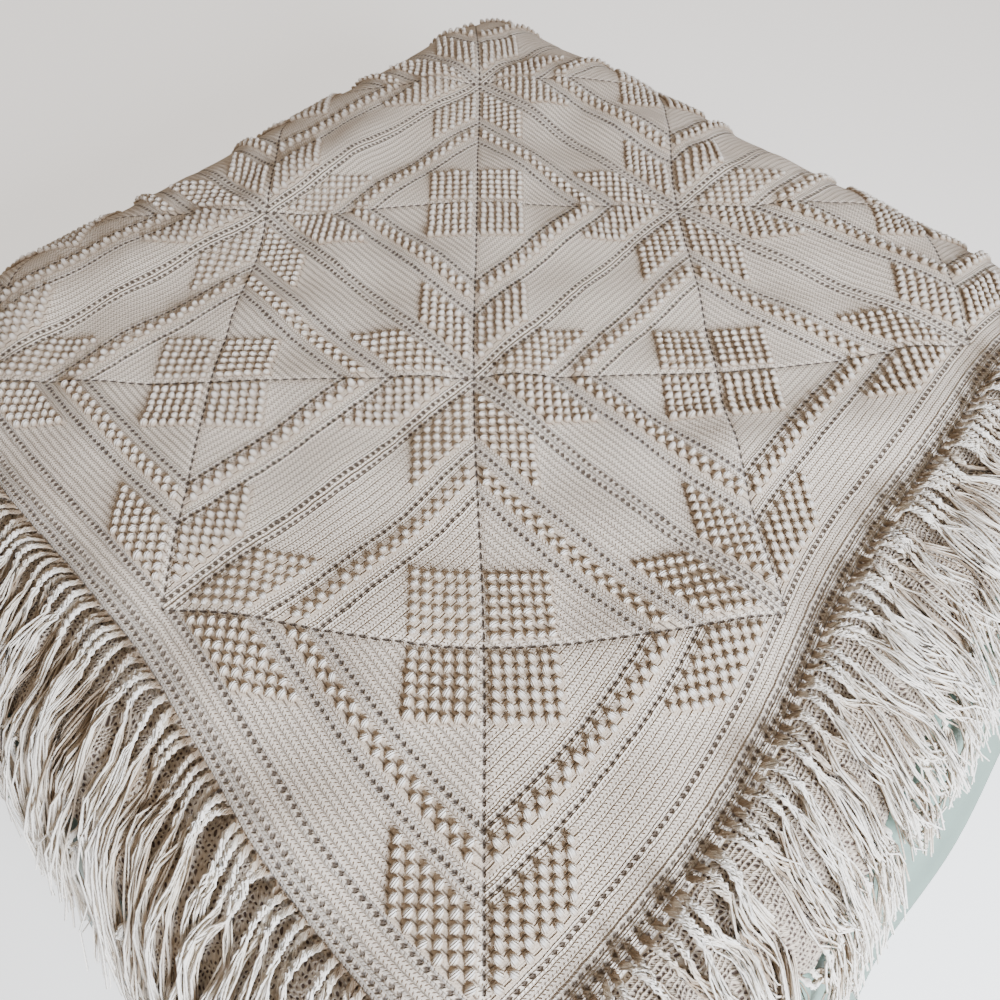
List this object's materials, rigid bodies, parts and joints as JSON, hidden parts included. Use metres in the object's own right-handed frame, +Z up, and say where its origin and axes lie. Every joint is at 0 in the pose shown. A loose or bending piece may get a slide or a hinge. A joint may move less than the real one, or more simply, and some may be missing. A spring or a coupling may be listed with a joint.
{
  "type": "crochet bedspread on a bed",
  "caption": "Square ecru crochet bedspread with star bobble squares, eyelet border, lace flounce and knotted fringe, draped over the rounded edges of a plain bed.",
  "frame": {"origin": "middle of the bed's flat underside", "axes": "+Z up; +X and -Y towards the two near sides, where the flounce and fringe lie over the bed's edge; -X and +Y towards the far sides, where the squares hang down"},
  "size_m": [1.8679, 1.8681, 0.7256],
  "materials": {
    "sage_sheet": "plain woven cotton sheet, matte",
    "crochet_cotton": "ribbed crochet cotton, matte",
    "cotton_yarn": "loose plied cotton yarn, matte"
  },
  "bodies": {
    "root": {"bed_base": "sage_sheet", "bed_cover": "sage_sheet", "crochet_panel": "crochet_cotton", "lace_flounce": "crochet_cotton", "lower_fringe": "cotton_yarn", "upper_fringe": "cotton_yarn"}
  },
  "joints": []
}
